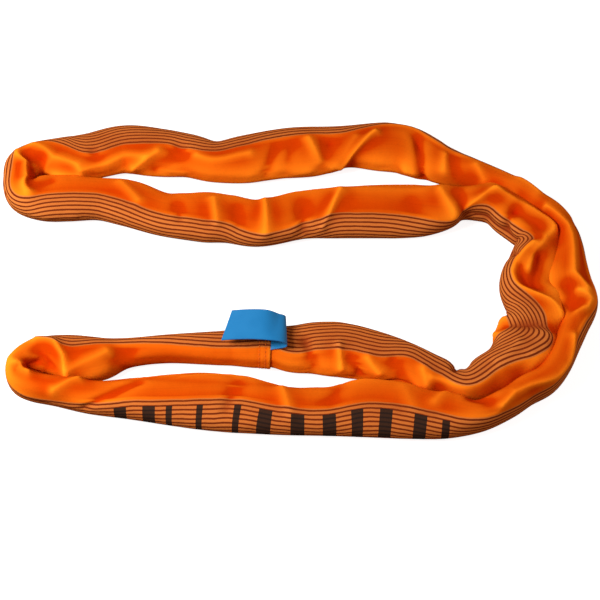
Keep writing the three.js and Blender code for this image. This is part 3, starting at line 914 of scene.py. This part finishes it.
def label_sheet():
    """The strip's middle surface, from under the lap, round the curl and back over the strand."""
    share = np.linspace(-0.5, 0.5, LABEL_ACROSS + 1)
    rows = []
    for ring_number in TUCKED_RINGS:
        section = cloth[ring_number]
        upper = section[section[:, 2] > section[:, 2].mean()]
        upper = upper[np.argsort(upper[:, 1])]
        y = CURL_CENTRE[1] + share * LABEL_WIDTH
        y = np.minimum(y, upper[-1, 1] - TUCKED_INSET)
        z = np.interp(y, upper[:, 1], upper[:, 2]) + TUCKED_HEIGHT
        rows.append(np.column_stack([np.full_like(y, section[:, 0].mean()), y, z]))
    # the curl is tighter at the strip's far edge, where the free end is also shorter
    reach = CURL_REACH - CURL_TIGHTER * (share + 0.5)
    for turn in np.radians(np.linspace(*CURL_TURN)):
        flat = CURL_CENTRE + np.array([0, 0, CURL_RISE * np.sin(turn)])
        row = flat + LABEL_ASIDE * (share * LABEL_WIDTH)[:, None]
        row += LABEL_AHEAD * (reach * np.cos(turn))[:, None]
        row[:, 2] -= FAR_SAG * (share + 0.5) * (0.5 + 0.5 * np.sin(turn))
        rows.append(row)
    for step in np.linspace(0, 1, FLAP_STEPS + 1)[1:]:
        back = step * (FLAP_START + FLAP_LENGTH)
        on_flap = max(back - FLAP_START, 0) / FLAP_LENGTH
        flat = CURL_CENTRE - LABEL_AHEAD * back + np.array([0, 0, CURL_RISE - FLAP_DROOP * on_flap**2])
        row = flat + LABEL_ASIDE * (share * LABEL_WIDTH)[:, None]
        row += LABEL_AHEAD * (FLAP_SHORTER * (share + 0.5) * step)[:, None]
        # the free end lifts towards its far corner, and is faintly cupped
        row[:, 2] += on_flap**2 * (CORNER_LIFT * share + CUPPING * share**2)
        row[:, 2] -= FAR_SAG * (share + 0.5) * max(1 - back / SAG_REACH, 0) ** 2
        rows.append(row)
    return np.array(rows)


def label_material():
    material, tree, shader = node_material("blue label")
    uv, u, v = cloth_uv(tree)
    tone = noise(tree, uv, 40, 3.0)
    colour = mixed(tree, tone, *LABEL_TONES)
    half_width = LABEL_WIDTH / 2000
    edge = between(tree, calc(tree, "ABSOLUTE", v), half_width - EDGE_WIDTH, half_width)
    colour = mixed(tree, times(tree, edge, 0.5), colour, LABEL_EDGE)
    tree.links.new(colour, shader.inputs["Base Color"])
    bump(tree, shader, times(tree, ribs(tree, u, 7000.0), ribs(tree, v, 9000.0)), 0.00003, 0.5)
    tree.links.new(plus(tree, times(tree, tone, 0.15), 0.36), shader.inputs["Roughness"])
    shader.inputs["Specular IOR Level"].default_value = 0.3
    return material


def close_ends(mesh, rings, around):
    """Faces over the strip's two cut ends."""
    build = bmesh.new()
    build.from_mesh(mesh)
    build.verts.ensure_lookup_table()
    for first in (0, (rings - 1) * around):
        for j in range(LABEL_ACROSS):
            corners = (j, j + 1, around - 2 - j, around - 1 - j)
            build.faces.new([build.verts[first + k] for k in corners])
    bmesh.ops.recalc_face_normals(build, faces=build.faces)
    build.to_mesh(mesh)
    build.free()


def make_label():
    # the path is evened out, so that the strip is one smooth curve
    smooth = label_sheet()
    for _ in range(LABEL_EASING):
        smooth[1:-1] = (smooth[:-2] + 2 * smooth[1:-1] + smooth[2:]) / 4
    normal = np.cross(np.gradient(smooth, axis=0), np.gradient(smooth, axis=1))
    normal /= np.linalg.norm(normal, axis=2)[..., None]
    half = normal * LABEL_THICKNESS / 2
    grid = np.concatenate([smooth + half, (smooth - half)[:, ::-1]], 1)
    u = running_length(smooth[:, LABEL_ACROSS // 2])
    across = (np.arange(LABEL_ACROSS + 1) / LABEL_ACROSS - 0.5) * LABEL_WIDTH
    v = np.concatenate([across, across[::-1], across[:1]])
    mesh = grid_mesh("label", grid, u, v, closed_u=False)
    label = add_object("label", mesh, label_material())
    close_ends(mesh, *grid.shape[:2])
    mesh.set_sharp_from_angle(angle=math.radians(50))
    # the bend's direction leans up, so that the tail tucked under the lap stays with the sling
    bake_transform(label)
    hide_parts("label_tail", "label_flap")


make_label()

# ---------------------------------------------------------------- floor and light
FLOOR_SIZE = 40
FLOOR_GREY, FLOOR_GLOW = (0.40, 0.40, 0.40, 1), 0.88
SKY_COLOUR, SKY_STRENGTH = (1.0, 0.72, 0.58, 1), 0.27
# Each lamp's name, place, size and power. The key light stands on the left.
LAMPS = (("key", (-1.15, -0.35, 1.25), 0.8, 42), ("fill", (1.6, -0.2, 0.8), 1.5, 9))


def floor_material():
    """White sweep that glows, so that the shadows on it stay faint."""
    material, _, shader = node_material("floor")
    shader.inputs["Base Color"].default_value = FLOOR_GREY
    shader.inputs["Roughness"].default_value = 1.0
    shader.inputs["Specular IOR Level"].default_value = 0.0
    shader.inputs["Emission Color"].default_value = (1, 1, 1, 1)
    shader.inputs["Emission Strength"].default_value = FLOOR_GLOW
    return material


bpy.ops.mesh.primitive_plane_add(size=FLOOR_SIZE, location=(0, 0, 0))
floor = bpy.context.object
floor.name = "studio_floor"
floor.data.materials.append(floor_material())
floor.visible_diffuse = False  # the sweep throws no light back up at the sling
floor.visible_glossy = False

world = bpy.data.worlds.new("studio")
bpy.context.scene.world = world
world.use_nodes = True
world.node_tree.nodes["Background"].inputs[0].default_value = SKY_COLOUR
world.node_tree.nodes["Background"].inputs[1].default_value = SKY_STRENGTH


def area_light(name, place, size, power):
    data = bpy.data.lights.new(name, "AREA")
    data.energy, data.size = power, size
    o = bpy.data.objects.new(name, data)
    o.location = place
    o.rotation_euler = (-Vector(place)).to_track_quat("-Z", "Y").to_euler()
    bpy.context.scene.collection.objects.link(o)


for lamp in LAMPS:
    area_light(*lamp)
bpy.context.scene.view_settings.view_transform = "Standard"
